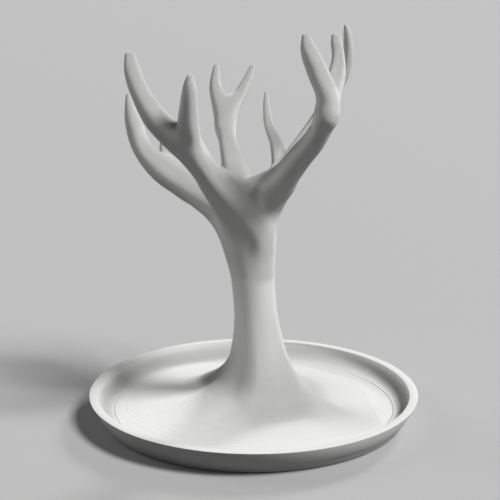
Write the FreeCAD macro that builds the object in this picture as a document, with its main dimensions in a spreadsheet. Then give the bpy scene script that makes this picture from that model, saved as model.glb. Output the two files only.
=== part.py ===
import FreeCAD, Part
import math
import os
import Sketcher
from FreeCAD import Placement, Rotation, Vector

# Jewelry tree: a branching tree that stands in a round dish. Millimetres, +Z up.
# The origin is the middle of the face that the pads rest on. The front of the tree faces -Y.

doc = FreeCAD.newDocument("jewelry_tree")

# Driving sizes.
sizes = {
    # dish
    "dish_radius": 82.5,
    "dish_height": 12.0,
    "rim_width": 4.4,
    "floor_thickness": 4.0,
    "foot_inset": 7.3,
    "foot_band_height": 4.1,
    "foot_band_flare": 2.4,
    "foot_band_step": 0.4,
    # root plate and its seat in the dish floor
    "plate_thickness": 1.5,
    "plate_clearance": 0.1,
    # boss that locates the trunk and holds the screw
    "boss_circumradius": 11.0,
    "boss_height": 9.0,
    "boss_clearance": 0.15,
    # tree
    "tree_height": 196.0,
    "waist_radius": 10.75,
    "limb_radius": 7.5,
    # pins in the limb joints
    "pin_radius": 2.0,
    "pin_length": 18.0,
    "pin_chamfer": 0.4,
    "pin_clearance": 0.05,
    "pin_end_gap": 0.5,
    # clamping screw, washer and threaded insert
    "screw_radius": 2.5,
    "screw_length": 22.0,
    "screw_tip_chamfer": 0.6,
    "head_radius": 4.25,
    "head_height": 3.0,
    "head_chamfer": 0.5,
    "key_circumradius": 1.75,
    "key_depth": 1.8,
    "washer_radius": 5.0,
    "washer_thickness": 1.0,
    "screw_clearance": 0.25,
    "counterbore_radius": 5.6,
    "boss_roof": 4.0,
    "thread_clearance": 0.05,
    "insert_radius": 4.0,
    "insert_length": 12.0,
    "insert_groove": 0.5,
    "insert_clearance": 0.05,
    # rubber pads
    "pad_radius": 5.0,
    "pad_thickness": 1.6,
    "pad_proud": 0.5,
    "pad_clearance": 0.1,
    "pad_edge_gap": 2.2,
    "pad_edge_round": 0.4,
}
pad_count = 4

sheet = doc.addObject("Spreadsheet::Sheet", "Sizes")
for row, (size_name, value) in enumerate(sizes.items(), start=1):
    sheet.set("A%d" % row, size_name)
    sheet.set("B%d" % row, str(value))
    sheet.setAlias("B%d" % row, size_name)
doc.recompute()


def size(name):
    return float(getattr(sheet, name))


def cell(formula):
    # Puts the sheet's name before every size in a formula.
    return " ".join("Sizes." + word if word in sizes else word for word in formula.split())


def worth(formula):
    return float(sheet.evalExpression(cell(formula)))


def bind(thing, **formulas):
    for path, formula in formulas.items():
        thing.setExpression(path.replace("__", "."), cell(formula))


def lift(thing, formula):
    thing.setExpression("Placement.Base.z", cell(formula))


# Heights and radii that several pieces share, as formulas of the driving sizes.
foot_level = "pad_proud"
band_level = "( pad_proud + foot_band_height )"
floor_level = "( pad_proud + floor_thickness )"
rim_level = "( pad_proud + dish_height )"
seat_level = "( pad_proud + floor_thickness - plate_thickness )"
boss_top = "( pad_proud + floor_thickness - plate_thickness + boss_height )"
socket_top = "( " + boss_top + " + boss_clearance )"
roof_level = "( " + boss_top + " - boss_roof )"
seat_radius = "( dish_radius - rim_width - dish_height + floor_thickness )"
foot_radius = "( dish_radius - foot_inset )"
pad_reach = "( " + foot_radius + " - pad_edge_gap - pad_radius )"

# Routes of the limbs. Each station is x and y as shares of dish_radius, z as a share of
# tree_height and the radius as a share of limb_radius. The main route starts inside the crown.
# Its first stub_ring_count stations belong to the stub on the trunk, and the last of these is
# the joint face, where the limb begins.
limb_shares = {
    "front_left": {
        "stub_ring_count": 3,
        "main": (
            (-0.052, -0.048, 0.512, 1.43),
            (-0.184, -0.170, 0.604, 1.15),
            (-0.267, -0.250, 0.657, 0.97),
            (-0.340, -0.323, 0.703, 0.87),
            (-0.428, -0.376, 0.742, 0.83),
            (-0.541, -0.400, 0.793, 0.77),
            (-0.617, -0.388, 0.848, 0.65),
            (-0.667, -0.352, 0.897, 0.53),
            (-0.685, -0.315, 0.934, 0.35),
        ),
        "tine": (
            (-0.278, -0.267, 0.666, 0.84),
            (-0.328, -0.364, 0.724, 0.80),
            (-0.354, -0.461, 0.783, 0.71),
            (-0.354, -0.521, 0.834, 0.53),
            (-0.348, -0.558, 0.874, 0.40),
            (-0.343, -0.570, 0.899, 0.27),
        ),
    },
    "rear_left": {
        "stub_ring_count": 3,
        "main": (
            (-0.082, 0.036, 0.488, 1.37),
            (-0.200, 0.097, 0.530, 1.13),
            (-0.291, 0.148, 0.552, 0.98),
            (-0.398, 0.206, 0.575, 0.89),
            (-0.552, 0.267, 0.617, 0.90),
            (-0.667, 0.303, 0.671, 0.80),
            (-0.732, 0.315, 0.729, 0.66),
            (-0.758, 0.315, 0.776, 0.43),
            (-0.765, 0.315, 0.805, 0.23),
        ),
        "tine": (
            (-0.387, 0.218, 0.582, 0.80),
            (-0.502, 0.364, 0.627, 0.68),
            (-0.531, 0.448, 0.667, 0.55),
            (-0.520, 0.497, 0.704, 0.35),
        ),
    },
    "rear_middle": {
        "stub_ring_count": 3,
        "main": (
            (-0.035, 0.048, 0.520, 1.31),
            (-0.083, 0.145, 0.583, 1.01),
            (-0.106, 0.204, 0.608, 0.94),
            (-0.137, 0.303, 0.653, 0.85),
            (-0.171, 0.412, 0.715, 0.77),
            (-0.210, 0.485, 0.770, 0.64),
            (-0.240, 0.521, 0.812, 0.44),
            (-0.239, 0.545, 0.852, 0.32),
            (-0.233, 0.552, 0.867, 0.24),
        ),
        "tine": (
            (-0.168, 0.412, 0.715, 0.75),
            (-0.136, 0.473, 0.763, 0.68),
            (-0.084, 0.521, 0.793, 0.49),
            (-0.035, 0.558, 0.831, 0.32),
            (-0.007, 0.582, 0.864, 0.20),
        ),
    },
    "rear_right": {
        "stub_ring_count": 2,
        "main": (
            (0.006, 0.073, 0.505, 1.32),
            (0.103, 0.170, 0.568, 0.99),
            (0.224, 0.267, 0.643, 0.80),
            (0.347, 0.339, 0.710, 0.71),
            (0.430, 0.364, 0.765, 0.60),
            (0.493, 0.339, 0.817, 0.49),
            (0.541, 0.303, 0.870, 0.44),
            (0.558, 0.267, 0.922, 0.35),
            (0.547, 0.242, 0.965, 0.25),
            (0.539, 0.230, 0.982, 0.17),
        ),
        "tine": (
            (0.139, 0.212, 0.592, 0.67),
            (0.155, 0.327, 0.622, 0.60),
            (0.130, 0.461, 0.667, 0.44),
            (0.093, 0.533, 0.714, 0.32),
            (0.076, 0.570, 0.759, 0.25),
            (0.072, 0.594, 0.792, 0.17),
        ),
    },
    "front_right": {
        "stub_ring_count": 3,
        "main": (
            (0.024, -0.036, 0.511, 1.36),
            (0.121, -0.170, 0.599, 1.11),
            (0.194, -0.262, 0.652, 0.96),
            (0.261, -0.346, 0.700, 0.87),
            (0.336, -0.436, 0.749, 0.84),
            (0.401, -0.521, 0.808, 0.75),
            (0.388, -0.533, 0.860, 0.69),
            (0.339, -0.509, 0.908, 0.61),
            (0.296, -0.497, 0.953, 0.49),
            (0.274, -0.485, 0.986, 0.29),
        ),
        "tine": (
            (0.401, -0.521, 0.811, 0.75),
            (0.427, -0.436, 0.852, 0.67),
            (0.458, -0.339, 0.892, 0.55),
            (0.463, -0.279, 0.929, 0.45),
            (0.456, -0.242, 0.960, 0.39),
            (0.446, -0.230, 0.975, 0.24),
        ),
    },
}

# Saddle between the two front limbs, in the same shares.
saddle_shares = (
    (-0.242, -0.230, 0.642, 0.70),
    (-0.183, -0.206, 0.632, 0.95),
    (-0.075, -0.170, 0.597, 1.15),
    (0.046, -0.182, 0.610, 1.08),
    (0.152, -0.224, 0.634, 0.76),
)

# Sections of the trunk: height over the dish floor as a share of what is left of tree_height,
# x and y of the middle as shares of dish_radius, then the radius along a root and in a hollow
# between two roots as shares of waist_radius.
trunk_shares = (
    (0.000, 0.000, 0.038, 6.20, 5.40),
    (0.003, 0.004, 0.034, 5.40, 4.35),
    (0.009, 0.010, 0.028, 4.50, 3.40),
    (0.018, 0.018, 0.024, 3.75, 2.80),
    (0.031, 0.026, 0.020, 3.05, 2.32),
    (0.050, 0.034, 0.014, 2.47, 1.90),
    (0.076, 0.038, 0.008, 1.97, 1.58),
    (0.112, 0.038, 0.003, 1.60, 1.34),
    (0.155, 0.032, 0.000, 1.31, 1.17),
    (0.205, 0.022, 0.000, 1.13, 1.07),
    (0.250, 0.011, 0.000, 1.03, 1.01),
    (0.292, 0.002, 0.000, 1.00, 1.00),
    (0.345, -0.005, 0.000, 1.02, 1.02),
    (0.398, -0.017, 0.000, 1.13, 1.13),
    (0.450, -0.031, 0.000, 1.27, 1.27),
    (0.490, -0.042, 0.000, 1.40, 1.40),
    (0.525, -0.042, 0.000, 1.44, 1.44),
)
# Bearings of the roots and of the hollows between them, and how far a section goes at each from
# its hollow radius (0) towards its root radius (1): higher up, and at the foot.
trunk_bearings = (
    (-95.0, 1.00, 0.35),
    (-58.0, 0.00, -0.10),
    (-28.0, 1.65, 1.30),
    (0.0, 0.30, 0.05),
    (58.0, 1.20, 0.60),
    (98.0, 0.00, 0.10),
    (138.0, 2.20, 1.10),
    (163.0, 0.60, 0.95),
    (185.0, 1.05, 1.10),
    (226.0, 0.00, 0.35),
)
foot_share = 0.05
crown_share = 1.43
tip_share = 0.99


def station_place(shares):
    return Vector(shares[0] * size("dish_radius"), shares[1] * size("dish_radius"),
                  shares[2] * size("tree_height"))


def place_on(thing, shares):
    # Ties the middle of a thing to a station.
    thing.setExpression("Placement.Base.x", "Sizes.dish_radius * %g" % shares[0])
    thing.setExpression("Placement.Base.y", "Sizes.dish_radius * %g" % shares[1])
    thing.setExpression("Placement.Base.z", "Sizes.tree_height * %g" % shares[2])


def route_turn(route, index):
    # Turns +Z to the direction in which a route passes a station.
    before = station_place(route[max(index - 1, 0)])
    after = station_place(route[min(index + 1, len(route) - 1)])
    return Rotation(Vector(0, 0, 1), after - before)


def loft_of(name, sections):
    loft = doc.addObject("Part::Loft", name)
    loft.Sections = sections
    loft.Solid = True
    loft.Ruled = False
    return loft


def route_rings(name, route):
    rings = []
    for index, shares in enumerate(route):
        ring = doc.addObject("Part::Circle", "%s_ring_%d" % (name, index))
        ring.Placement = Placement(station_place(shares), route_turn(route, index))
        place_on(ring, shares)
        bind(ring, Radius="limb_radius * %g" % shares[3])
        rings.append(ring)
    return rings


def round_tip(name, shares):
    tip = doc.addObject("Part::Sphere", name)
    place_on(tip, shares)
    bind(tip, Radius="limb_radius * %g" % (shares[3] * tip_share))
    return tip


def cylinder(name, radius, length, level):
    rod = doc.addObject("Part::Cylinder", name)
    bind(rod, Radius=radius, Height=length)
    lift(rod, level)
    return rod


def fuse(name, pieces):
    whole = doc.addObject("Part::MultiFuse", name)
    whole.Shapes = pieces
    return whole


def cut(name, base, tool):
    rest = doc.addObject("Part::Cut", name)
    rest.Base = base
    rest.Tool = tool
    return rest


def origin_plane(body, role):
    return next(feature for feature in body.Origin.OriginFeatures if feature.Role == role)


def tie(sketch, edge, point, direction, formula):
    # Holds one point of an edge at its distance from the origin.
    if formula == "0":
        axis = -2 if direction == "DistanceX" else -1
        sketch.addConstraint(Sketcher.Constraint("PointOnObject", edge, point, axis))
        return
    distance = Sketcher.Constraint(direction, -1, 1, edge, point, worth(formula))
    number = sketch.addConstraint(distance)
    sketch.setExpression("Constraints[%d]" % number, cell(formula))


def turned_body(name, outline):
    # A body turned about Z from an outline of (radius, level) formulas. Each edge runs to the
    # next corner. From a corner marked "arc" it is a quarter circle that starts out level.
    body = doc.addObject("PartDesign::Body", name)
    sketch = body.newObject("Sketcher::SketchObject", name + "_outline")
    sketch.AttachmentSupport = (origin_plane(body, "XZ_Plane"), [""])
    sketch.MapMode = "FlatFace"
    corners = [Vector(worth(radius), worth(level), 0) for radius, level, *mark in outline]
    for index, corner in enumerate(corners):
        following = corners[(index + 1) % len(corners)]
        if "arc" in outline[index]:
            centre = Vector(corner.x, following.y, 0)
            circle = Part.Circle(centre, Vector(0, 0, 1), following.x - corner.x)
            sketch.addGeometry(Part.ArcOfCircle(circle, -math.pi / 2, 0))
        else:
            sketch.addGeometry(Part.LineSegment(corner, following))
    for index, (radius, level, *mark) in enumerate(outline):
        following = (index + 1) % len(outline)
        sketch.addConstraint(Sketcher.Constraint("Coincident", index, 2, following, 1))
        tie(sketch, index, 1, "DistanceX", radius)
        tie(sketch, index, 1, "DistanceY", level)
        if mark:
            tie(sketch, index, 3, "DistanceX", radius)
    turned = body.newObject("PartDesign::Revolution", name + "_turned")
    turned.Profile = sketch
    turned.ReferenceAxis = (sketch, ["V_Axis"])
    turned.Angle = 360
    return body


def bored(body, name, radius, depth, level):
    hole = body.newObject("PartDesign::SubtractiveCylinder", name)
    bind(hole, Radius=radius, Height=depth)
    lift(hole, level)
    return hole


def make_dish():
    body = turned_body("dish", (
        ("0", seat_level),
        (seat_radius, seat_level),
        (seat_radius, floor_level, "arc"),
        ("dish_radius - rim_width", rim_level),
        ("dish_radius", rim_level),
        (foot_radius + " + foot_band_flare + foot_band_step", band_level),
        (foot_radius + " + foot_band_flare", band_level),
        (foot_radius, foot_level),
        ("0", foot_level),
    ))
    boss = body.newObject("PartDesign::AdditivePrism", "dish_boss")
    boss.Polygon = 6
    bind(boss, Circumradius="boss_circumradius", Height="boss_height")
    lift(boss, seat_level)
    bored(body, "dish_counterbore", "counterbore_radius", roof_level + " - " + foot_level, foot_level)
    bored(body, "dish_screw_hole", "screw_radius + screw_clearance", "boss_roof", roof_level)
    recess = bored(body, "dish_pad_recess", "pad_radius + pad_clearance", "pad_thickness - pad_proud",
                   foot_level)
    recess.setExpression("Placement.Base.x", cell(pad_reach))
    doc.recompute()
    ring = body.newObject("PartDesign::PolarPattern", "dish_pad_recesses")
    ring.Originals = [recess]
    ring.Axis = (origin_plane(body, "Z_Axis"), [""])
    ring.Angle = 360
    ring.Occurrences = pad_count
    body.Tip = ring
    return body


def make_pads():
    pads = []
    for number in range(pad_count):
        pad = turned_body("pad_%d" % (number + 1), (
            ("0", "0"),
            ("pad_radius - pad_edge_round", "0", "arc"),
            ("pad_radius", "pad_edge_round"),
            ("pad_radius", "pad_thickness"),
            ("0", "pad_thickness"),
        ))
        angle = 360 * number / pad_count
        pad.setExpression("Placement.Base.x", cell(pad_reach) + " * cos(%g)" % angle)
        pad.setExpression("Placement.Base.y", cell(pad_reach) + " * sin(%g)" % angle)
        pads.append(pad)
    return pads


def make_screw():
    # Local height 0 is the face of the head that bears on the washer.
    body = turned_body("clamp_screw", (
        ("0", "0 - head_height"),
        ("head_radius - head_chamfer", "0 - head_height"),
        ("head_radius", "head_chamfer - head_height"),
        ("head_radius", "0"),
        ("screw_radius", "0"),
        ("screw_radius", "screw_length - screw_tip_chamfer"),
        ("screw_radius - screw_tip_chamfer", "screw_length"),
        ("0", "screw_length"),
    ))
    key = body.newObject("PartDesign::SubtractivePrism", "clamp_screw_key")
    key.Polygon = 6
    bind(key, Circumradius="key_circumradius", Height="key_depth")
    lift(key, "0 - head_height")
    lift(body, roof_level + " - washer_thickness")
    return body


def make_washer():
    body = turned_body("screw_washer", (
        ("screw_radius + screw_clearance", "0"),
        ("washer_radius", "0"),
        ("washer_radius", "washer_thickness"),
        ("screw_radius + screw_clearance", "washer_thickness"),
    ))
    lift(body, roof_level + " - washer_thickness")
    return body


def make_insert():
    # Two collars with a groove between them, each part a third of the length.
    body = turned_body("thread_insert", (
        ("screw_radius + thread_clearance", "0"),
        ("insert_radius", "0"),
        ("insert_radius", "insert_length / 3"),
        ("insert_radius - insert_groove", "insert_length / 3"),
        ("insert_radius - insert_groove", "insert_length * 2 / 3"),
        ("insert_radius", "insert_length * 2 / 3"),
        ("insert_radius", "insert_length"),
        ("screw_radius + thread_clearance", "insert_length"),
    ))
    lift(body, socket_top)
    return body


def joint_of(limb):
    route = limb["main"]
    index = limb["stub_ring_count"] - 1
    return route[index], route_turn(route, index)


def make_pin(limb_name, limb):
    body = turned_body("pin_" + limb_name, (
        ("0", "0 - pin_length / 2"),
        ("pin_radius - pin_chamfer", "0 - pin_length / 2"),
        ("pin_radius", "pin_chamfer - pin_length / 2"),
        ("pin_radius", "pin_length / 2 - pin_chamfer"),
        ("pin_radius - pin_chamfer", "pin_length / 2"),
        ("0", "pin_length / 2"),
    ))
    station, turn = joint_of(limb)
    body.Placement = Placement(station_place(station), turn)
    place_on(body, station)
    return body


def make_pin_bore(limb_name, limb):
    # One bore runs through the joint face, half of it in the stub and half in the limb.
    bore = doc.addObject("Part::Cylinder", "bore_" + limb_name)
    bind(bore, Radius="pin_radius + pin_clearance", Height="pin_length + pin_end_gap * 2")
    station, turn = joint_of(limb)
    middle = station_place(station)
    start = middle - turn.multVec(Vector(0, 0, worth("pin_length / 2 + pin_end_gap")))
    bore.Placement = Placement(start, turn)
    lean = turn.multVec(Vector(0, 0, 1))
    for axis, share, reach, part in zip("xyz", station, ("dish_radius", "dish_radius", "tree_height"), lean):
        formula = "%s * %g - ( pin_length / 2 + pin_end_gap ) * %g" % (reach, share, part)
        bore.setExpression("Placement.Base." + axis, cell(formula))
    return bore


def make_limb(limb_name, limb, bore):
    # Gives the finished limb and the rings that its stub on the trunk shares with it.
    name = "limb_" + limb_name
    joint = limb["stub_ring_count"] - 1
    main_rings = route_rings(name + "_main", limb["main"])
    tine_rings = route_rings(name + "_tine", limb["tine"])
    whole = fuse(name + "_whole", [
        loft_of(name + "_main", main_rings[joint:]),
        loft_of(name + "_fork", tine_rings),
        round_tip(name + "_main_tip", limb["main"][-1]),
        round_tip(name + "_fork_tip", limb["tine"][-1]),
    ])
    return cut(name, whole, bore), main_rings[:joint + 1]


def lobed_section(number, shares):
    # A closed curve that stands out at each root and draws in between two roots.
    level_share, middle_x, middle_y, root_share, hollow_share = shares
    base = worth(floor_level)
    level = base + (size("tree_height") - base) * level_share
    middle = Vector(size("dish_radius") * middle_x, size("dish_radius") * middle_y, level)
    near_foot = max(0, 1 - level_share / foot_share)
    near_foot = near_foot ** 2 * (3 - 2 * near_foot)
    points = []
    for bearing, high, low in trunk_bearings:
        stand_out = high + (low - high) * near_foot
        share = hollow_share + (root_share - hollow_share) * stand_out
        out = Vector(math.cos(math.radians(bearing)), math.sin(math.radians(bearing)), 0)
        points.append(middle + out * (size("waist_radius") * share))
    curve = Part.BSplineCurve()
    curve.interpolate(Points=points, PeriodicFlag=True)
    section = doc.addObject("Part::Feature", "trunk_section_%d" % number)
    section.Shape = Part.Wire([curve.toShape()])
    return section


def make_trunk(stub_rings, bores):
    plate = cylinder("trunk_plate", seat_radius + " - plate_clearance", "plate_thickness", seat_level)
    column = loft_of("trunk_column", [lobed_section(*row) for row in enumerate(trunk_shares)])
    crown = doc.addObject("Part::Sphere", "trunk_crown")
    top_share = trunk_shares[-1]
    bind(crown, Radius="waist_radius * %g" % crown_share)
    crown.setExpression("Placement.Base.x", cell("dish_radius * %g" % top_share[1]))
    lift(crown, "%s + ( tree_height - %s ) * %g" % (floor_level, floor_level, top_share[0]))
    stubs = [loft_of("stub_" + name, rings) for name, rings in stub_rings.items()]
    saddle = loft_of("trunk_saddle", route_rings("trunk_saddle", saddle_shares))
    whole = fuse("trunk_whole", [plate, column, crown, saddle] + stubs)
    socket = doc.addObject("Part::Prism", "trunk_socket")
    socket.Polygon = 6
    bind(socket, Circumradius="boss_circumradius + boss_clearance", Height="boss_height + boss_clearance")
    lift(socket, seat_level)
    insert_seat = cylinder("trunk_insert_seat", "insert_radius + insert_clearance", "insert_length", socket_top)
    tip_room = cylinder("trunk_tip_room", "screw_radius + screw_clearance", "screw_length", socket_top)
    return cut("trunk", whole, fuse("trunk_bores", [socket, insert_seat, tip_room] + bores))


dish = make_dish()
pads = make_pads()
screw = make_screw()
washer = make_washer()
insert = make_insert()
pins = []
bores = []
limbs = []
stub_rings = {}
for limb_name, limb in limb_shares.items():
    pins.append(make_pin(limb_name, limb))
    bore = make_pin_bore(limb_name, limb)
    bores.append(bore)
    finished, stub_rings[limb_name] = make_limb(limb_name, limb, bore)
    limbs.append(finished)
trunk = make_trunk(stub_rings, bores)
doc.recompute()

for thing in doc.Objects:
    if "Invalid" in thing.State or "Error" in thing.State:
        raise RuntimeError("%s failed: %s" % (thing.Name, thing.State))

sub_parts = [dish, trunk, screw, washer, insert] + pads + pins + limbs
for part in sub_parts:
    if part.Shape.isNull() or not part.Shape.isValid() or len(part.Shape.Solids) != 1:
        raise RuntimeError("%s is not one sound solid" % part.Label)

os.makedirs("parts", exist_ok=True)
for part in sub_parts:
    part.Shape.exportStep(os.path.join("parts", part.Label + ".step"))
    print("%s %.1f mm3" % (part.Label, part.Shape.Volume))
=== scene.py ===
import bpy
import math
import numpy as np
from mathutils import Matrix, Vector


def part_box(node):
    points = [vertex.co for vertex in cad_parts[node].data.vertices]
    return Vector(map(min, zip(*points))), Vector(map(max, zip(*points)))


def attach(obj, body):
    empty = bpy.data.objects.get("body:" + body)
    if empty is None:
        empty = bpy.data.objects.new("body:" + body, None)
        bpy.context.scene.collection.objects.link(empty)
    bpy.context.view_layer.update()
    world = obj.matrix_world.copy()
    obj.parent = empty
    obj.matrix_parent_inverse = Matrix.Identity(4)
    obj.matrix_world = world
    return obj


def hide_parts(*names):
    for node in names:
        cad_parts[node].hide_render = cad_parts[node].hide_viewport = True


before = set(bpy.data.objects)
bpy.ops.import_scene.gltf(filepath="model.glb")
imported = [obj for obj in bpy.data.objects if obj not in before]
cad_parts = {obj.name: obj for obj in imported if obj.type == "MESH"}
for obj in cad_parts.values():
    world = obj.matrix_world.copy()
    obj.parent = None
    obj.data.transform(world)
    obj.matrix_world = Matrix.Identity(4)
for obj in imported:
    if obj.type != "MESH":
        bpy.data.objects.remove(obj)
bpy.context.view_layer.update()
print("frame loaded:", len(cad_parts), "nodes")

mm = 0.001
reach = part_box("dish")[1].x  # half the dish's width
treeTop = 0.196  # the height that the z shares of the routes and the flare follow
footZ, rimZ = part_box("dish")[0].z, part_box("dish")[1].z
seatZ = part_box("trunk")[0].z  # where the root plate stands in the dish
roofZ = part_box("screw_washer")[1].z  # what the screw's washer bears on
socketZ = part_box("thread_insert")[0].z  # top of the socket that fits over the dish's boss
limbNames = ["front_left", "rear_left", "rear_middle", "rear_right", "front_right"]


# Camera at the photograph's angle

cameraDims = {
    "place": (0.0, -656.4 * mm, 255.8 * mm),
    "lookDown": 14.563,  # degrees under level
    "turnLeft": 0.167,
    "lens": 99.41,
    "sensor": 36.0,
}


def addCamera():
    tilt = math.radians(90 - cameraDims["lookDown"])
    turn = math.radians(cameraDims["turnLeft"])
    bpy.ops.object.camera_add(location=cameraDims["place"], rotation=(tilt, 0, turn))
    camera = bpy.context.object
    camera.name = "photoCamera"
    camera.data.lens = cameraDims["lens"]
    camera.data.sensor_width = cameraDims["sensor"]
    bpy.context.scene.camera = camera


addCamera()
print("camera set")


# Shader maths

class Wire:
    # A socket that can stand in a Python sum.
    def __init__(self, bench, socket):
        self.bench = bench
        self.socket = socket

    def __add__(self, other):
        return self.bench.maths("ADD", self, other)

    def __radd__(self, other):
        return self.bench.maths("ADD", other, self)

    def __sub__(self, other):
        return self.bench.maths("SUBTRACT", self, other)

    def __rsub__(self, other):
        return self.bench.maths("SUBTRACT", other, self)

    def __mul__(self, other):
        return self.bench.maths("MULTIPLY", self, other)

    def __rmul__(self, other):
        return self.bench.maths("MULTIPLY", other, self)

    def __truediv__(self, other):
        return self.bench.maths("DIVIDE", self, other)

    def __rtruediv__(self, other):
        return self.bench.maths("DIVIDE", other, self)


class Bench:
    # The nodes of a new material or world, all added through one method. What is fed to the bench
    # goes into the node with the given name.
    def __init__(self, owner, fedNode):
        owner.use_nodes = True
        self.owner = owner
        self.tree = owner.node_tree
        self.fedNode = self.tree.nodes[fedNode]

    def add(self, kind, settings, values, output=0):
        node = self.tree.nodes.new(kind)
        for name, value in settings.items():
            setattr(node, name, value)
        for key, value in values.items():
            if isinstance(value, Wire):
                self.tree.links.new(value.socket, node.inputs[key])
            else:
                node.inputs[key].default_value = value
        return Wire(self, node.outputs[output])

    def feed(self, socket, wire):
        self.tree.links.new(wire.socket, self.fedNode.inputs[socket])

    def maths(self, operation, *values):
        return self.add("ShaderNodeMath", {"operation": operation}, dict(enumerate(values)))

    def vector(self, operation, first, second, output="Vector"):
        return self.add("ShaderNodeVectorMath", {"operation": operation}, {0: first, 1: second}, output)

    def levelOf(self, wire):
        return self.add("ShaderNodeSeparateXYZ", {}, {0: wire}, "Z")

    def coordinates(self):
        return self.add("ShaderNodeTexCoord", {}, {}, "Object")

    def noise(self, scale, detail, stretch=(1, 1, 1)):
        stretched = self.add("ShaderNodeMapping", {}, {"Vector": self.coordinates(), "Scale": stretch})
        return self.add("ShaderNodeTexNoise", {}, {"Vector": stretched, "Scale": scale, "Detail": detail})

    def mixColour(self, share, first, second):
        settings = {"data_type": "RGBA"}
        return self.add("ShaderNodeMix", settings, {"Factor": share, 6: first, 7: second}, 2)

    def bump(self, relief):
        values = {"Height": relief, "Strength": 1.0, "Distance": 1.0}
        self.feed("Normal", self.add("ShaderNodeBump", {}, values))


def materialBench(name, constants):
    bench = Bench(bpy.data.materials.new(name), "Principled BSDF")
    for socket, value in constants.items():
        bench.fedNode.inputs[socket].default_value = value
    return bench


# Materials

printDims = {
    "layer": 0.15 * mm,  # height of one printed layer
    "step": 2.2,  # how much of a layer shows as a step where the surface lies nearly flat
    "layerShift": 0.05 * mm,  # how far one layer stands out from the next
    "layerLuck": 0.5,  # the share of that which is the same all over a layer
    "grain": 0.010 * mm,
    "shade": (0.87, 0.87, 0.86, 1),
    "dullShade": (0.80, 0.80, 0.79, 1),
    "roughness": 0.50,
    "roughnessSpread": 0.22,
    "bending": {"IOR": 1.46},
    # scale, detail and stretch of each pattern
    "streakPattern": (90, 2, (0.25, 0.25, 16)),
    "grainPattern": (2400, 2),
    "cloudPattern": (38, 4),
    "cloudShare": 0.55,  # of the shade, and the streaks have the rest
    "streakShare": 0.45,
    # how far a mark's colour is darkened: painted shade in its dent
    "paintedPitShade": 0.8,
}
# small marks dented into the printed surface, their colour darkened as painted shade: start and end of the
# stroke, half width and depth
marks = [
    ((-23.9 * mm, -31.2 * mm, 6.3 * mm), (-22.9 * mm, -31.0 * mm, 6.3 * mm), 0.5 * mm, 0.30 * mm),
    ((26.9 * mm, 68.9 * mm, 5.0 * mm), (30.2 * mm, 72.2 * mm, 12.3 * mm), 0.4 * mm, 0.12 * mm),
]


def strokeMask(bench, place, start, end, width):
    # 1 along the middle of a short stroke and 0 outside it.
    run = Vector(end) - Vector(start)
    along = run.normalized()
    offset = bench.vector("SUBTRACT", place, (Vector(start) + Vector(end)) / 2)
    share = bench.vector("DOT_PRODUCT", offset, along, "Value")
    share = bench.maths("MINIMUM", bench.maths("MAXIMUM", share, -run.length / 2), run.length / 2)
    foot = bench.add("ShaderNodeVectorMath", {"operation": "SCALE"}, {0: along, "Scale": share})
    gap = bench.vector("DISTANCE", offset, foot, "Value")
    values = {"Value": gap, "From Min": width, "From Max": 0.0}
    return bench.add("ShaderNodeMapRange", {"interpolation_type": "SMOOTHSTEP"}, values)


def printedWhite():
    # White printed plastic: its level layers are fine streaks on a wall and steps on a shallow
    # slope, over a sandy grain, and its small dents are darkened with painted shade.
    bench = materialBench("printedWhite", printDims["bending"])
    place = bench.coordinates()
    layers = bench.levelOf(place) / printDims["layer"]
    share = bench.maths("FRACT", layers)
    luck = bench.add("ShaderNodeTexWhiteNoise", {"noise_dimensions": "1D"},
                     {"W": bench.maths("FLOOR", layers)}, "Value")
    facing = bench.add("ShaderNodeNewGeometry", {}, {}, "True Normal")
    lying = bench.maths("ABSOLUTE", bench.levelOf(facing))
    streaks = bench.noise(*printDims["streakPattern"])
    grain = bench.noise(*printDims["grainPattern"])
    cloud = bench.noise(*printDims["cloudPattern"])
    relief = (1 - share) * lying * (printDims["layer"] * printDims["step"])
    shift = luck * printDims["layerLuck"] + streaks
    relief = relief + shift * printDims["layerShift"] + grain * printDims["grain"]
    # random tone from the cloud and the streaks, and painted shade in the marks' dents
    toneAndPaintedPitShade = cloud * printDims["cloudShare"] + streaks * printDims["streakShare"]
    # each mark is carved into the bump and its colour darkened as painted shade
    for start, end, width, depth in marks:
        mark = strokeMask(bench, place, start, end, width)
        relief = relief - mark * depth
        toneAndPaintedPitShade = toneAndPaintedPitShade - mark * printDims["paintedPitShade"]
    bench.bump(relief)
    bench.feed("Base Color", bench.mixColour(toneAndPaintedPitShade, printDims["dullShade"], printDims["shade"]))
    bench.feed("Roughness", toneAndPaintedPitShade * printDims["roughnessSpread"] + printDims["roughness"])
    return bench.owner


metalDims = {
    # clean and tarnished shade, roughness, and scale of the rings
    "pinSteel": ((0.60, 0.60, 0.60, 1), (0.50, 0.50, 0.50, 1), 0.24, 9000),
    "zincSteel": ((0.66, 0.67, 0.68, 1), (0.54, 0.55, 0.56, 1), 0.30, 6000),
    "insertBrass": ((0.76, 0.58, 0.29, 1), (0.60, 0.44, 0.21, 1), 0.26, 6000),
    "tarnishPattern": (700, 3),
    "tarnishRoughness": 0.12,
    "ringDetail": 1,
    "ringStretch": (0.05, 0.05, 1),
    "ringRoughness": 0.08,
    "ringRelief": 0.01 * mm,
}


def turnedMetal(name):
    # Metal with the fine rings that turning leaves, and a little tarnish.
    shade, dull, roughness, ringScale = metalDims[name]
    bench = materialBench(name, {"Metallic": 1.0})
    tarnish = bench.noise(*metalDims["tarnishPattern"])
    rings = bench.noise(ringScale, metalDims["ringDetail"], metalDims["ringStretch"])
    bench.feed("Base Color", bench.mixColour(tarnish, shade, dull))
    spread = tarnish * metalDims["tarnishRoughness"] + rings * metalDims["ringRoughness"]
    bench.feed("Roughness", spread + roughness)
    bench.bump(rings * metalDims["ringRelief"])
    return bench.owner


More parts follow.
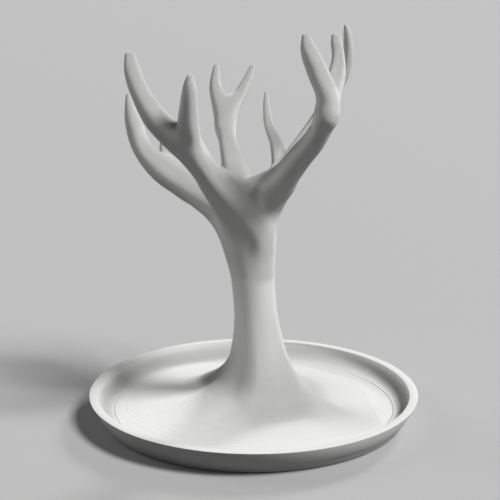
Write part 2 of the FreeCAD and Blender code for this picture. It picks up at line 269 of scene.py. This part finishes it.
rubberDims = {
    "bending": {"IOR": 1.5},
    "shade": (0.040, 0.040, 0.042, 1),
    "bloomShade": (0.075, 0.075, 0.078, 1),
    "roughness": 0.68,
    "bloomRoughness": 0.2,
    "bloomPattern": (220, 3),
    "grainPattern": (1800, 2),
    "grain": 0.02 * mm,
}


def mouldedRubber():
    # Dark rubber with a moulded grain and a pale bloom.
    bench = materialBench("padRubber", rubberDims["bending"])
    grain = bench.noise(*rubberDims["grainPattern"])
    bloom = bench.noise(*rubberDims["bloomPattern"])
    bench.feed("Base Color", bench.mixColour(bloom, rubberDims["shade"], rubberDims["bloomShade"]))
    bench.feed("Roughness", bloom * rubberDims["bloomRoughness"] + rubberDims["roughness"])
    bench.bump(grain * rubberDims["grain"])
    return bench.owner


white = printedWhite()
pinSteel = turnedMetal("pinSteel")
zincSteel = turnedMetal("zincSteel")
insertBrass = turnedMetal("insertBrass")
padRubber = mouldedRubber()
print("materials made")


# Helpers for the modelling

overrun = 1 * mm  # how far a cutting tool starts or ends outside what it cuts
hexTurn = math.pi / 6  # of the dish's boss and of the trunk's socket over it
smoothAngle = math.radians(35)


def deselectAll():
    bpy.ops.object.select_all(action="DESELECT")


def makeActive(*things):
    deselectAll()
    for thing in things:
        thing.select_set(True)
    bpy.context.view_layer.objects.active = things[0]


def editMode(selectMode="VERT", everything=False):
    bpy.ops.object.mode_set(mode="EDIT")
    bpy.ops.mesh.select_mode(type=selectMode)
    bpy.ops.mesh.select_all(action="SELECT" if everything else "DESELECT")


def objectMode():
    bpy.ops.object.mode_set(mode="OBJECT")


def pointsOf(thing):
    points = np.empty(len(thing.data.vertices) * 3)
    thing.data.vertices.foreach_get("co", points)
    return points.reshape(-1, 3)


def movePoints(thing, points):
    thing.data.vertices.foreach_set("co", points.ravel())
    thing.data.update()


def applyPlace(thing):
    makeActive(thing)
    bpy.ops.object.transform_apply(location=True, rotation=True, scale=True)


def addRod(name, radius, bottom, top, steps=48, turn=0):
    # A rod from one place to another. Only an upright one is turned about its length.
    deselectAll()
    middle = (Vector(bottom) + Vector(top)) / 2
    along = Vector(top) - Vector(bottom)
    tilt = along.to_track_quat("Z", "Y").to_euler()
    bpy.ops.mesh.primitive_cylinder_add(vertices=steps, radius=radius, depth=along.length,
                                        location=middle, rotation=tilt)
    rod = bpy.context.object
    rod.name = name
    if turn:
        rod.rotation_euler.z += turn
    applyPlace(rod)
    return rod


def carve(thing, tool, operation="DIFFERENCE"):
    # Cuts the tool out of the thing, or joins it on, and takes the tool away.
    makeActive(thing)
    modifier = thing.modifiers.new("carve", "BOOLEAN")
    modifier.operation = operation
    modifier.solver = "EXACT"
    modifier.object = tool
    bpy.ops.object.modifier_apply(modifier="carve")
    bpy.data.objects.remove(tool)


def finishPiece(thing, node):
    thing.data.materials.clear()
    thing.data.materials.append(white)
    makeActive(thing)
    bpy.ops.object.shade_smooth_by_angle(angle=smoothAngle)
    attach(thing, "root")
    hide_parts(node)


# Dish

dishDims = {
    "floor": 4.0 * mm,  # over the foot
    "rim": 4.4 * mm,
    "footInset": 7.3 * mm,
    "bandHeight": 4.1 * mm,
    "bandFlare": 2.4 * mm,
    "bandStep": 0.4 * mm,
    "coveSteps": 22,
    "steps": 288,
    "mergeGap": 0.01 * mm,
    "edgeRound": 0.3 * mm,
    "edgeSegments": 3,
    "edgeAngle": math.radians(32),  # sharper edges than this are rounded
    "bossRadius": 11.0 * mm,
    "bossRoot": 0.5 * mm,  # how far the boss starts inside the floor
    "bossGap": 0.15 * mm,
    "screwHole": 2.75 * mm,
    "counterbore": 5.6 * mm,
    "padGap": 0.1 * mm,
    "padSteps": 64,
}
floorZ = footZ + dishDims["floor"]
coveRadius = rimZ - floorZ
coveStart = reach - dishDims["rim"] - coveRadius


def makeDish():
    # The outline of half the dish, spun round, with its edges rounded.
    footR = reach - dishDims["footInset"]
    bandR = footR + dishDims["bandFlare"]
    bandZ = footZ + dishDims["bandHeight"]
    outline = [(0, seatZ), (coveStart, seatZ)]
    for i in range(dishDims["coveSteps"] + 1):
        turn = math.pi / 2 * i / dishDims["coveSteps"]
        outline.append((coveStart + coveRadius * math.sin(turn), rimZ - coveRadius * math.cos(turn)))
    outline += [(reach, rimZ), (bandR + dishDims["bandStep"], bandZ), (bandR, bandZ)]
    outline += [(footR, footZ), (0, footZ)]
    mesh = bpy.data.meshes.new("dishShell")
    mesh.from_pydata([(x, 0, z) for x, z in outline], [(i, i + 1) for i in range(len(outline) - 1)], [])
    dish = bpy.data.objects.new("dishShell", mesh)
    bpy.context.scene.collection.objects.link(dish)
    makeActive(dish)
    editMode("EDGE", everything=True)
    bpy.ops.mesh.spin(steps=dishDims["steps"], angle=math.tau, center=(0, 0, 0), axis=(0, 0, 1))
    bpy.ops.mesh.select_all(action="SELECT")
    bpy.ops.mesh.remove_doubles(threshold=dishDims["mergeGap"])
    bpy.ops.mesh.normals_make_consistent(inside=False)
    objectMode()
    bevel = dish.modifiers.new("edges", "BEVEL")
    bevel.width = dishDims["edgeRound"]
    bevel.segments = dishDims["edgeSegments"]
    bevel.limit_method = "ANGLE"
    bevel.angle_limit = dishDims["edgeAngle"]
    bpy.ops.object.modifier_apply(modifier="edges")
    return dish


def fitDish(dish):
    # The boss that the trunk fits over, the screw's hole and the pads' recesses.
    bossZ = socketZ - dishDims["bossGap"]
    below = footZ - overrun
    bossRoot = (0, 0, seatZ - dishDims["bossRoot"])
    carve(dish, addRod("boss", dishDims["bossRadius"], bossRoot, (0, 0, bossZ), 6, hexTurn), "UNION")
    carve(dish, addRod("counterbore", dishDims["counterbore"], (0, 0, below), (0, 0, roofZ)))
    carve(dish, addRod("screwHole", dishDims["screwHole"], (0, 0, below), (0, 0, bossZ + overrun)))
    for i in range(4):
        low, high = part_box("pad_%d" % (i + 1))
        middle = (low + high) / 2
        radius = (high.x - low.x) / 2 + dishDims["padGap"]
        bottom, top = (middle.x, middle.y, below), (middle.x, middle.y, high.z)
        carve(dish, addRod("recess", radius, bottom, top, dishDims["padSteps"]))


dish = makeDish()
fitDish(dish)
finishPiece(dish, "dish")
print("dish made")


# Tree: the places that its tubes pass

girth = 7.5 * mm
# x and y as shares of the dish's radius, z as a share of the tree's height, radius as a share of girth
routeShares = {
    "column": [
        (0.006, 0.000, 0.230, 1.43), (0.004, 0.000, 0.302, 1.41), (-0.005, 0.000, 0.357, 1.42),
        (-0.013, 0.000, 0.408, 1.52), (-0.030, 0.003, 0.460, 1.61), (-0.040, 0.010, 0.500, 1.66),
        (-0.042, 0.018, 0.530, 1.55)],
    "saddle": [
        (-0.243, -0.212, 0.634, 0.48), (-0.184, -0.167, 0.619, 0.61), (-0.075, -0.125, 0.599, 0.87),
        (0.047, -0.121, 0.610, 0.83), (0.155, -0.182, 0.629, 0.72)],
    "front_left": [
        (-0.022, 0.000, 0.380, 0.62), (-0.035, -0.020, 0.452, 1.16), (-0.052, -0.048, 0.512, 1.43),
        (-0.184, -0.170, 0.604, 1.15), (-0.269, -0.250, 0.656, 0.83), (-0.344, -0.323, 0.702, 0.81),
        (-0.428, -0.376, 0.742, 0.83), (-0.539, -0.400, 0.794, 0.79), (-0.620, -0.388, 0.848, 0.61),
        (-0.667, -0.352, 0.897, 0.52), (-0.685, -0.315, 0.934, 0.33)],
    "front_left_tine": [
        (-0.279, -0.267, 0.665, 0.59), (-0.340, -0.364, 0.722, 0.65), (-0.360, -0.461, 0.783, 0.64),
        (-0.354, -0.521, 0.834, 0.53), (-0.347, -0.558, 0.874, 0.41), (-0.341, -0.570, 0.899, 0.23)],
    "rear_left": [
        (-0.028, 0.008, 0.385, 0.62), (-0.052, 0.022, 0.447, 1.13), (-0.082, 0.036, 0.488, 1.34),
        (-0.199, 0.097, 0.531, 1.11), (-0.290, 0.148, 0.553, 0.95), (-0.397, 0.206, 0.576, 0.87),
        (-0.551, 0.267, 0.617, 0.89), (-0.675, 0.303, 0.669, 0.66), (-0.726, 0.315, 0.730, 0.58),
        (-0.749, 0.315, 0.777, 0.33), (-0.758, 0.315, 0.805, 0.15)],
    "rear_left_tine": [
        (-0.387, 0.218, 0.582, 0.80), (-0.502, 0.364, 0.627, 0.68), (-0.531, 0.448, 0.667, 0.56),
        (-0.520, 0.497, 0.704, 0.35)],
    "rear_middle": [
        (-0.026, 0.010, 0.420, 0.80), (-0.035, 0.048, 0.520, 1.31), (-0.083, 0.145, 0.583, 1.01),
        (-0.106, 0.204, 0.608, 0.94), (-0.141, 0.303, 0.652, 0.69), (-0.177, 0.412, 0.714, 0.57),
        (-0.206, 0.485, 0.770, 0.59), (-0.237, 0.521, 0.812, 0.42), (-0.235, 0.545, 0.852, 0.26),
        (-0.231, 0.552, 0.867, 0.18)],
    "rear_middle_tine": [
        (-0.177, 0.412, 0.716, 0.54), (-0.142, 0.473, 0.764, 0.62), (-0.086, 0.521, 0.794, 0.44),
        (-0.038, 0.558, 0.832, 0.32), (-0.009, 0.582, 0.864, 0.18)],
    "rear_right": [
        (-0.006, 0.012, 0.405, 0.70), (0.006, 0.073, 0.505, 1.32), (0.100, 0.170, 0.568, 0.95),
        (0.230, 0.267, 0.641, 0.72), (0.352, 0.339, 0.709, 0.65), (0.432, 0.364, 0.764, 0.57),
        (0.490, 0.339, 0.818, 0.45), (0.540, 0.303, 0.870, 0.43), (0.557, 0.267, 0.922, 0.33),
        (0.549, 0.242, 0.965, 0.25), (0.540, 0.230, 0.982, 0.14)],
    "rear_right_tine": [
        (0.139, 0.212, 0.592, 0.67), (0.158, 0.327, 0.622, 0.58), (0.139, 0.461, 0.668, 0.45),
        (0.092, 0.533, 0.714, 0.33), (0.078, 0.570, 0.759, 0.24), (0.075, 0.594, 0.792, 0.13)],
    "front_right": [
        (-0.012, 0.004, 0.380, 0.62), (0.001, 0.006, 0.460, 1.16), (0.016, -0.006, 0.512, 1.26),
        (0.117, -0.147, 0.599, 1.02), (0.190, -0.262, 0.653, 0.85), (0.259, -0.346, 0.700, 0.77),
        (0.337, -0.436, 0.749, 0.70), (0.394, -0.521, 0.809, 0.63), (0.390, -0.533, 0.860, 0.65),
        (0.343, -0.509, 0.909, 0.63), (0.297, -0.497, 0.953, 0.51), (0.278, -0.485, 0.986, 0.25)],
    "front_right_tine": [
        (0.394, -0.521, 0.811, 0.64), (0.422, -0.436, 0.852, 0.62), (0.457, -0.339, 0.892, 0.54),
        (0.467, -0.279, 0.929, 0.40), (0.458, -0.242, 0.960, 0.35), (0.451, -0.230, 0.975, 0.25)],
    "keel": [
        (-0.303, -0.333, 0.681, 0.27), (-0.260, -0.297, 0.649, 0.36), (-0.199, -0.257, 0.614, 0.40),
        (-0.135, -0.216, 0.578, 0.40), (-0.066, -0.185, 0.541, 0.40), (-0.011, -0.158, 0.508, 0.40),
        (0.012, -0.148, 0.487, 0.35), (0.018, -0.114, 0.450, 0.27), (0.018, -0.092, 0.414, 0.21)],
    "web": [
        (-0.132, -0.179, 0.610, 0.56), (-0.069, -0.165, 0.581, 0.69), (-0.011, -0.148, 0.552, 0.75),
        (0.035, -0.128, 0.513, 0.72), (0.047, -0.109, 0.478, 0.63), (0.048, -0.082, 0.439, 0.52),
        (0.042, -0.061, 0.400, 0.43)],
}

treeDims = {
    "limbBlend": 7.0 * mm,  # how softly a limb runs into the crown
    "tineBlend": 4.5 * mm,  # and a tine into its limb
    "frontBlend": 6.0 * mm,  # the two front limbs, the saddle and the web
    "keelBlend": 3.5 * mm,
    "columnBlend": 0.01 * mm,
    "halfBlend": 3.0 * mm,  # the rear half into the front half, up in the crown
    "leastBlend": 0.01,  # the share of halfBlend that is left under the crown
    "crownFoot": treeTop * 0.49,  # where halfBlend starts to grow, and over what height
    "crownRise": 14.0 * mm,
    "tubeMargin": 12 * mm,  # how far out from a tube its distance counts
    "leastAway": 0.3,  # keeps a settling step short where two directions cancel
    "settleReach": 3 * mm,
    "stationGap": 1.2 * mm,
    "roughVoxel": 0.9 * mm,
    "fineVoxel": 0.8 * mm,
    "cutBand": 3 * mm,  # how far in front of and behind a joint its cut reaches
    "cutReach": 1.9,  # and how far aside, as a share of the limb's radius there
    "bridge": 1.2 * mm,  # height of the strip between the flare and the tree above it
    "pinBore": 2.05 * mm,
    "boreDepth": 9.5 * mm,
    "boreSteps": 24,
    "socket": 11.15 * mm,  # from the middle to a corner
    "insertSeat": 4.05 * mm,
    "insertDepth": 12.0 * mm,
    "tipRoom": 2.75 * mm,
    "tipDepth": 22.0 * mm,
}
treeHalves = [
    ["column", "rear_left", "rear_left_tine", "rear_middle", "rear_middle_tine",
     "rear_right", "rear_right_tine"],
    ["column", "saddle", "front_left", "front_left_tine", "front_right", "front_right_tine",
     "web", "keel"],
]
# the station of each limb at which it joins its stub on the trunk, and how far past it the cut is
jointPlaces = {
    "front_left": (4, 0),
    "rear_left": (4, 0),
    "rear_middle": (3, 0),
    "rear_right": (2, 3.0 * mm),
    "front_right": (4, 0),
}
# how far past a tube's end its tip's rings lie and how thick they are, as shares of its end radius
tipShares = ((0.5, 0.85), (0.9, 0.4))


def throughRows(rows, gap, measured=(0, 1, 2)):
    # A smooth run of rows through given ones, one at about every gap along the measured columns.
    measured = list(measured)
    padded = np.vstack([2 * rows[0] - rows[1], rows, 2 * rows[-1] - rows[-2]])
    run = []
    for p0, p1, p2, p3 in zip(padded, padded[1:], padded[2:], padded[3:]):
        count = max(2, int(np.linalg.norm((p2 - p1)[measured]) / gap))
        t = np.arange(count)[:, None] / count
        bend = (2 * p0 - 5 * p1 + 4 * p2 - p3) * t ** 2 + (3 * p1 - p0 - 3 * p2 + p3) * t ** 3
        run.append(p1 + ((p2 - p0) * t + bend) / 2)
    run.append(rows[-1:])
    return np.vstack(run)


routes = {name: np.array(rows) * (reach, reach, treeTop, girth) for name, rows in routeShares.items()}
lines = {name: throughRows(route, treeDims["stationGap"]) for name, route in routes.items()}


def softness(name):
    if name in ("column", "keel"):
        return treeDims[name + "Blend"]
    if name.endswith("tine"):
        return treeDims["tineBlend"]
    if name.startswith("front") or name in ("saddle", "web"):
        return treeDims["frontBlend"]
    return treeDims["limbBlend"]


def tubeDistance(points, line, margin):
    # How far each nearby point is from a tapering tube, and the direction away from it.
    room = line[:, 3].max() + margin
    inside = (points > line[:, :3].min(axis=0) - room) & (points < line[:, :3].max(axis=0) + room)
    near = np.nonzero(inside.all(axis=1))[0]
    places = points[near]
    nearest = np.full(len(near), 1.0)
    away = np.zeros((len(near), 3))
    for start, end in zip(line, line[1:]):
        run = end[:3] - start[:3]
        along = np.clip((places - start[:3]) @ run / (run @ run), 0, 1)
        offset = places - start[:3] - along[:, None] * run
        length = np.sqrt((offset ** 2).sum(axis=1)) + 1e-12
        gap = length - start[3] - (end[3] - start[3]) * along
        closer = gap < nearest
        nearest[closer] = gap[closer]
        away[closer] = offset[closer] / length[closer, None]
    return near, nearest, away


def formDistance(points):
    # How far points are from the tree's form, and the direction away from it. The tubes of each half
    # run softly into one another. The halves, which share the column, meet sharply on it and more
    # and more softly up in the crown.
    whole = np.full(len(points), 1.0)
    wholeAway = np.tile((0.0, 0.0, 1.0), (len(points), 1))
    for half in treeHalves:
        distance, away = whole * 0 + 1, wholeAway * 1
        for name in half:
            near, gap, out = tubeDistance(points, lines[name], treeDims["tubeMargin"])
            soft = softness(name)
            share = np.clip(0.5 + 0.5 * (gap - distance[near]) / soft, 0, 1)
            distance[near] = gap * (1 - share) + distance[near] * share - soft * share * (1 - share)
            away[near] = out * (1 - share)[:, None] + away[near] * share[:, None]
        rise = (points[:, 2] - treeDims["crownFoot"]) / treeDims["crownRise"]
        soft = treeDims["halfBlend"] * np.clip(rise, treeDims["leastBlend"], 1)
        share = np.clip(0.5 + 0.5 * (distance - whole) / soft, 0, 1)
        whole = distance * (1 - share) + whole * share - soft * share * (1 - share)
        wholeAway = away * (1 - share)[:, None] + wholeAway * share[:, None]
    return whole, wholeAway


def settle(thing, rounds):
    # Moves the surface onto the form, by a few millimetres at most in each round.
    points = pointsOf(thing)
    most = treeDims["settleReach"]
    for _ in range(rounds):
        distance, away = formDistance(points)
        length = np.maximum((away ** 2).sum(axis=1), treeDims["leastAway"])
        points -= away * np.clip(distance / length, -most, most)[:, None]
    movePoints(thing, points)


def roughTube(name, line):
    # A bevelled curve along one line, drawn in to a point a little past its end.
    tip = line[-1]
    ahead = tip[:3] - line[-2][:3]
    ahead /= np.linalg.norm(ahead)
    caps = [np.append(tip[:3] + ahead * tip[3] * out, tip[3] * keep) for out, keep in tipShares]
    stations = np.vstack([line, caps])
    deselectAll()
    curve = bpy.data.curves.new(name, "CURVE")
    curve.dimensions = "3D"
    curve.bevel_depth = 1
    curve.bevel_resolution = 5
    curve.use_fill_caps = True
    spline = curve.splines.new("POLY")
    spline.points.add(len(stations) - 1)
    for point, station in zip(spline.points, stations):
        point.co = (*station[:3], 1)
        point.radius = station[3]
    tube = bpy.data.objects.new(name, curve)
    bpy.context.scene.collection.objects.link(tube)
    return tube


def voxelRemesh(thing, size):
    makeActive(thing)
    thing.data.remesh_voxel_size = size
    bpy.ops.object.voxel_remesh()


def makeSkin():
    # All the tubes as one skin, settled on the blended form.
    tubes = [roughTube(name, line) for name, line in lines.items()]
    makeActive(*tubes)
    bpy.ops.object.convert(target="MESH")
    bpy.ops.object.join()
    skin = bpy.context.object
    skin.name = "treeSkin"
    voxelRemesh(skin, treeDims["roughVoxel"])
    settle(skin, 3)
    voxelRemesh(skin, treeDims["fineVoxel"])
    settle(skin, 2)
    return skin


# Flare: the roots under the waist, and the plate that stands in the dish's floor

flareDims = {
    "waistRadius": 10.75 * mm,
    "crest": 1.6,  # more makes the crests of the roots narrower
    "footShare": 0.05,  # where the sections begin to take the foot's outline
    "steps": 240,
    "ringGap": 0.9 * mm,
    "plateGap": 0.1 * mm,  # between the root plate and the dish
    "plateRound": 0.15 * mm,
}
# height over the dish's floor as a share of what rises over it, x and y of the middle as shares
# of the dish's radius, then the radius along a root and in a hollow as shares of waistRadius
flareShares = [
    (0.292, 0.004, 0.000, 0.98, 0.98), (0.250, 0.013, 0.000, 1.01, 0.99),
    (0.205, 0.023, 0.000, 1.12, 1.06), (0.155, 0.032, 0.000, 1.31, 1.17),
    (0.112, 0.038, 0.003, 1.60, 1.34), (0.076, 0.038, 0.008, 1.97, 1.58),
    (0.050, 0.034, 0.014, 2.47, 1.90), (0.031, 0.026, 0.020, 3.05, 2.32),
    (0.018, 0.018, 0.024, 3.75, 2.80), (0.009, 0.010, 0.028, 4.50, 3.40),
    (0.003, 0.004, 0.034, 5.40, 4.35), (0.000, 0.000, 0.038, 6.20, 5.40)]
# bearing of each root and each hollow in turn, how far the section goes there from its hollow
# radius (0) towards its root radius (1), higher up and at the foot, and how blunt a root's crest is
flareBearings = [
    (-95, 1.00, 0.35, 0.05), (-58, 0.80, 0.00, 0), (-28, 1.50, 1.18, 0.30), (0, 0.30, 0.05, 0),
    (58, 1.20, 0.60, 0.5), (98, 0.00, 0.10, 0), (138, 2.20, 1.10, 0.3), (163, 0.60, 0.95, 0),
    (185, 1.05, 1.10, 0.3), (226, 0.00, 0.35, 0)]


def standOut(angles, nearFoot):
    # How far a section stands out at each bearing: sharpest on a crest and level in a hollow.
    share = np.zeros(len(angles))
    turned = flareBearings[1:] + flareBearings[:1]
    for i, (here, following) in enumerate(zip(flareBearings, turned)):
        past = (angles - here[0]) % 360 / ((following[0] - here[0]) % 360)
        chosen = past < 1
        root, hollow = (here, following) if i % 2 == 0 else (following, here)
        off = past if i % 2 == 0 else 1 - past
        blunt = root[3]
        off = (np.sqrt(off ** 2 + blunt ** 2) - blunt) / (math.sqrt(1 + blunt ** 2) - blunt)
        keep = np.clip(1 - off, 0, 1) ** flareDims["crest"]
        top = root[1] + (root[2] - root[1]) * nearFoot
        dip = hollow[1] + (hollow[2] - hollow[1]) * nearFoot
        share = np.where(chosen, dip + (top - dip) * keep, share)
    return share


def makeFlare():
    # A ring at the waist, extruded down ring by ring and then shaped to the roots.
    scale = (treeTop - floorZ, reach, reach, flareDims["waistRadius"], flareDims["waistRadius"])
    rings = throughRows(np.array(flareShares) * scale, flareDims["ringGap"], (0, 3))
    rings[:, 0] += floorZ
    steps = flareDims["steps"]
    deselectAll()
    bpy.ops.mesh.primitive_circle_add(vertices=steps, radius=1, location=(0, 0, rings[0, 0]))
    flare = bpy.context.object
    flare.name = "flare"
    applyPlace(flare)
    editMode("EDGE", everything=True)
    for here, following in zip(rings, rings[1:]):
        down = (0, 0, following[0] - here[0])
        bpy.ops.mesh.extrude_region_move(TRANSFORM_OT_translate={"value": down})
    objectMode()
    points = pointsOf(flare)
    angles = np.degrees(np.arctan2(points[:, 1], points[:, 0]))
    levels = points[:, 2]
    middleX, middleY, root, hollow = (np.interp(levels, rings[::-1, 0], rings[::-1, i]) for i in range(1, 5))
    nearFoot = 1 - (levels - floorZ) / (treeTop - floorZ) / flareDims["footShare"]
    nearFoot = np.clip(nearFoot, 0, 1) ** 2 * (3 - 2 * np.clip(nearFoot, 0, 1))
    radius = hollow + (root - hollow) * standOut(angles, nearFoot)
    points[:, :2] *= radius[:, None]
    points[:, 0] += middleX
    points[:, 1] += middleY
    movePoints(flare, points)
    return flare


def addPlate(flare):
    # From the foot's ring out to the plate's edge, down, and closed under the trunk.
    plateR = coveStart - flareDims["plateGap"]
    soft = flareDims["plateRound"]
    steps = flareDims["steps"]
    makeActive(flare)
    for radius, level in ((plateR - soft, floorZ), (plateR, floorZ - soft), (plateR, seatZ)):
        outermost = len(flare.data.vertices) - steps  # extrude puts the new ring's points last
        editMode("EDGE")
        objectMode()
        for edge in flare.data.edges:
            edge.select = min(edge.vertices) >= outermost
        bpy.ops.object.mode_set(mode="EDIT")
        bpy.ops.mesh.extrude_region_move()
        objectMode()
        points = pointsOf(flare)
        ring = points[-steps:]
        angles = np.arctan2(ring[:, 1], ring[:, 0])
        ring[:, 0], ring[:, 1], ring[:, 2] = radius * np.cos(angles), radius * np.sin(angles), level
        movePoints(flare, points)
    bpy.ops.object.mode_set(mode="EDIT")
    bpy.ops.mesh.edge_face_add()
    objectMode()


def selectOpenEdges(thing, low, high):
    # Selects the open edges between two heights, and stays in edit mode.
    makeActive(thing)
    editMode("EDGE")
    bpy.ops.mesh.select_non_manifold(extend=False, use_wire=False, use_boundary=True,
                                     use_multi_face=False, use_non_contiguous=False, use_verts=False)
    objectMode()
    for edge in thing.data.edges:
        level = thing.data.vertices[edge.vertices[0]].co.z
        edge.select = edge.select and low < level < high
    bpy.ops.object.mode_set(mode="EDIT")


def growTree(skin, flare):
    # The skin is cut off over the waist and bridged to the flare's top ring.
    bridge = treeDims["bridge"]
    makeActive(skin)
    editMode(everything=True)
    bpy.ops.mesh.bisect(plane_co=(0, 0, waistZ + bridge), plane_no=(0, 0, 1), clear_inner=True)
    objectMode()
    makeActive(skin, flare)
    bpy.ops.object.join()
    selectOpenEdges(skin, waistZ - bridge, waistZ + 2 * bridge)
    bpy.ops.mesh.bridge_edge_loops()
    bpy.ops.mesh.select_all(action="SELECT")
    bpy.ops.mesh.normals_make_consistent(inside=False)
    objectMode()


def cutAtJoint(tree, name):
    # Parts a limb from its stub, with a cut that reaches only the faces round the joint.
    route = routes[name]
    station, past = jointPlaces[name]
    along = route[station + 1, :3] - route[station - 1, :3]
    along /= np.linalg.norm(along)
    place = route[station, :3] + along * past
    makeActive(tree)
    editMode("FACE")
    objectMode()
    centres = np.empty(len(tree.data.polygons) * 3)
    tree.data.polygons.foreach_get("center", centres)
    offset = centres.reshape(-1, 3) - place
    ahead = offset @ along
    aside = np.linalg.norm(offset - ahead[:, None] * along, axis=1)
    chosen = (np.abs(ahead) < treeDims["cutBand"]) & (aside < route[station, 3] * treeDims["cutReach"])
    tree.data.polygons.foreach_set("select", chosen)
    bpy.ops.object.mode_set(mode="EDIT")
    bpy.ops.mesh.bisect(plane_co=place, plane_no=along)
    bpy.ops.mesh.edge_split(type="EDGE")
    objectMode()


def pinLine(name):
    # The middle of a joint's pin and the direction that it lies in.
    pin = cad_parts["pin_" + name]
    points = [pin.matrix_world @ Vector(point) for point in pointsOf(pin)]
    middle = np.mean(points, axis=0)
    return Vector(middle), Vector(np.linalg.svd(points - middle)[2][0])


def closeAndBore(piece, bores):
    # Closes the open joint faces and drills each pin's bore into them.
    makeActive(piece)
    editMode("EDGE", everything=True)
    bpy.ops.mesh.fill_holes(sides=0)
    bpy.ops.mesh.select_all(action="SELECT")
    bpy.ops.mesh.normals_make_consistent(inside=False)
    objectMode()
    for middle, along in bores:
        depth = along * treeDims["boreDepth"]
        steps = treeDims["boreSteps"]
        carve(piece, addRod("pinBore", treeDims["pinBore"], middle - depth, middle + depth, steps))


def partTree(tree):
    # The trunk and the five limbs, each a closed piece.
    for name in limbNames:
        cutAtJoint(tree, name)
    bores = {name: pinLine(name) for name in limbNames}
    makeActive(tree)
    editMode(everything=True)
    bpy.ops.mesh.separate(type="LOOSE")
    objectMode()
    pieces = {}
    tips = {name: routes[name][-1, :3] for name in limbNames}
    for piece in list(bpy.context.selected_objects):
        points = pointsOf(piece)
        if points[:, 2].min() < floorZ:
            pieces["trunk"] = piece
            continue
        gaps = {name: np.linalg.norm(points - tip, axis=1).min() for name, tip in tips.items()}
        pieces[min(gaps, key=gaps.get)] = piece
    print("tree parted into", len(bpy.context.selected_objects), "pieces")
    for name, piece in pieces.items():
        closeAndBore(piece, bores.values() if name == "trunk" else [bores[name]])
    return pieces


def fitTrunk(trunk):
    # The socket over the dish's boss, the insert's seat and the room for the screw's tip.
    below = seatZ - overrun
    seatFoot = socketZ - overrun
    insertTop = socketZ + treeDims["insertDepth"]
    tipTop = socketZ + treeDims["tipDepth"]
    carve(trunk, addRod("socket", treeDims["socket"], (0, 0, below), (0, 0, socketZ), 6, hexTurn))
    carve(trunk, addRod("insertSeat", treeDims["insertSeat"], (0, 0, seatFoot), (0, 0, insertTop)))
    carve(trunk, addRod("tipRoom", treeDims["tipRoom"], (0, 0, socketZ), (0, 0, tipTop)))


waistZ = floorZ + (treeTop - floorZ) * flareShares[0][0]
skin = makeSkin()
print("tree skin:", len(skin.data.polygons), "faces")
flare = makeFlare()
addPlate(flare)
print("flare made")
growTree(skin, flare)
pieces = partTree(skin)
fitTrunk(pieces["trunk"])
for name, piece in pieces.items():
    piece.name = "trunkShell" if name == "trunk" else "limb_%s_shell" % name
    finishPiece(piece, "trunk" if name == "trunk" else "limb_" + name)
    print(piece.name, len(piece.data.polygons), "faces")


# Joinery that keeps its solids' shapes

joineryFinish = {  # by the first word of the node's name
    "pin": pinSteel,
    "clamp": zincSteel,
    "screw": zincSteel,
    "thread": insertBrass,
    "pad": padRubber,
}
for node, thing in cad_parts.items():
    kind = node.split("_")[0]
    if kind in joineryFinish:
        thing.data.materials.clear()
        thing.data.materials.append(joineryFinish[kind])
print("joinery dressed")


# Floor, light and background

studioDims = {
    "floorSize": 16.0,
    "seenShade": (0.52, 0.52, 0.52, 1),  # floor and backdrop as the camera sees them
    "floorShade": (0.22, 0.22, 0.22, 1),  # the floor as it lights the object from below
    "floorRough": {"Roughness": 0.9},
    "toothPattern": (60, 3),  # the paper's faint unevenness
    "toothShare": 0.04,
    "toothShade": (0.30, 0.30, 0.30, 1),
    "worldLight": 0.05,
    # bearing and height that each lamp shines from, how wide it looks (all in degrees) and its strength
    "key": (-25, 50, 18, 2.8),
    "rim": (58, 28, 12, 1.1),
    "fill": (158, 32, 30, 0.40),
}


def seenRays(bench):
    # 1 for what the camera sees, directly or in something glossy or clear.
    straight, glossy, clear = (bench.add("ShaderNodeLightPath", {}, {}, "Is %s Ray" % kind)
                               for kind in ("Camera", "Glossy", "Transmission"))
    return bench.maths("MAXIMUM", bench.maths("MAXIMUM", straight, glossy), clear)


def addFloor():
    deselectAll()
    bpy.ops.mesh.primitive_plane_add(size=studioDims["floorSize"])
    floor = bpy.context.object
    floor.name = "floor"
    bench = materialBench("floorPaper", studioDims["floorRough"])
    tooth = bench.noise(*studioDims["toothPattern"]) * studioDims["toothShare"]
    paper = bench.mixColour(seenRays(bench), studioDims["floorShade"], studioDims["seenShade"])
    bench.feed("Base Color", bench.mixColour(tooth, paper, studioDims["toothShade"]))
    floor.data.materials.append(bench.owner)


def addLamp(name):
    bearing, height, width, strength = studioDims[name]
    deselectAll()
    turn = (0, math.radians(90 - height), math.radians(bearing))
    bpy.ops.object.light_add(type="SUN", location=(0, 0, 1), rotation=turn)
    lamp = bpy.context.object
    lamp.name = name + "Lamp"
    lamp.data.angle = math.radians(width)
    lamp.data.energy = strength


def addWorld():
    # A little even light, and the pale background wherever the camera sees it.
    bench = Bench(bpy.data.worlds.new("studio"), "World Output")
    bpy.context.scene.world = bench.owner
    bench.tree.nodes.remove(bench.tree.nodes["Background"])  # a new world comes with one
    values = {"Color": (1, 1, 1, 1), "Strength": studioDims["worldLight"]}
    light = bench.add("ShaderNodeBackground", {}, values)
    seen = bench.add("ShaderNodeBackground", {}, {"Color": studioDims["seenShade"]})
    bench.feed("Surface", bench.add("ShaderNodeMixShader", {}, {0: seenRays(bench), 1: light, 2: seen}))


addFloor()
for name in ("key", "fill", "rim"):
    addLamp(name)
addWorld()
bpy.context.scene.view_settings.view_transform = "Standard"
print("floor and lights set")
